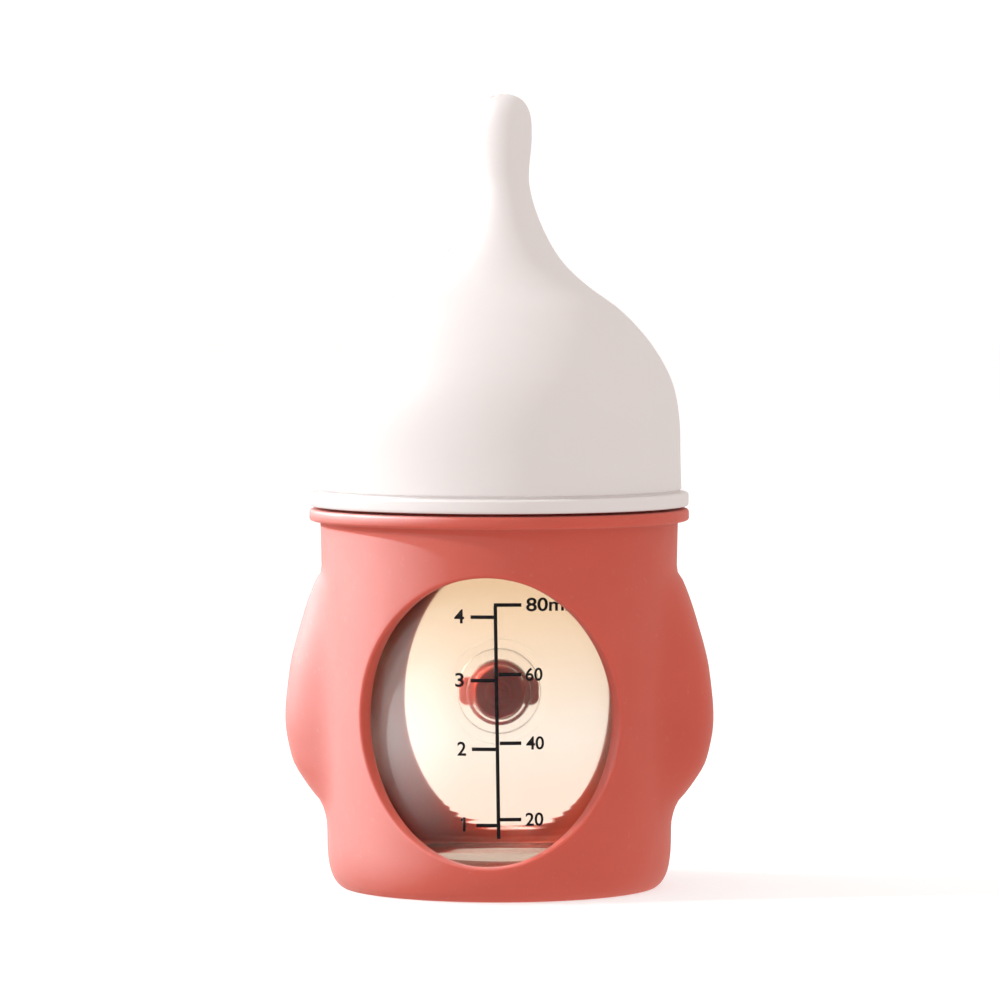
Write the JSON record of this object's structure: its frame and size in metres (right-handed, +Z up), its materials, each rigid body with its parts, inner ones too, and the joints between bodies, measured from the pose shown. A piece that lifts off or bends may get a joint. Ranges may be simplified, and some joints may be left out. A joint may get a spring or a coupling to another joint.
{
  "type": "baby bottle",
  "caption": "Small wide-neck baby bottle in a winged silicone sleeve with windows, a screw collar, a teat, a rear vent plug and a tall dust cap.",
  "frame": {"origin": "centre of the base, on the surface that the bottle stands on", "axes": "+Z up along the bottle's axis, -Y to the front with the large window and the printed scale, the grips along +X and -X"},
  "size_m": [0.0684, 0.0604, 0.1259],
  "materials": {
    "coral_silicone": "matt moulded silicone",
    "clear_plastic": "clear, slightly amber",
    "plug_silicone": "satin silicone",
    "milky_silicone": "milky, satin",
    "collar_plastic": "satin moulded plastic",
    "white_plastic": "fine matt moulded plastic"
  },
  "bodies": {
    "sleeve": {"silicone_sleeve": "coral_silicone"},
    "bottle": {"bottle_body": "clear_plastic"},
    "plug": {"vent_plug": "plug_silicone"},
    "teat_body": {"teat": "milky_silicone"},
    "collar": {"screw_collar": "collar_plastic"},
    "cap": {"dust_cap": "white_plastic"}
  },
  "joints": [
    {"name": "bottle_lift", "type": "slide", "parent": "sleeve", "child": "bottle", "axis": [0, 0, 1], "range_m": [0, 0.075]},
    {"name": "teat_lift", "type": "slide", "parent": "bottle", "child": "teat_body", "axis": [0, 0, 1], "range_m": [0, 0.0051]},
    {"name": "collar_turn", "type": "hinge", "parent": "teat_body", "child": "collar", "pos_m": [0, 0, 0.068], "axis": [0, 0, 1], "range_deg": [0, 360]},
    {"name": "cap_lift", "type": "slide", "parent": "collar", "child": "cap", "axis": [0, 0, 1], "range_m": [0, 0.06]},
    {"name": "vent_plug_pull", "type": "slide", "parent": "bottle", "child": "plug", "axis": [-0.075, 0.9972, 0], "range_m": [0, 0.015]}
  ],
  "couplings": [
    {"joint": "teat_lift", "follows": "collar_turn", "m_per_rad": 0.00079577}
  ]
}
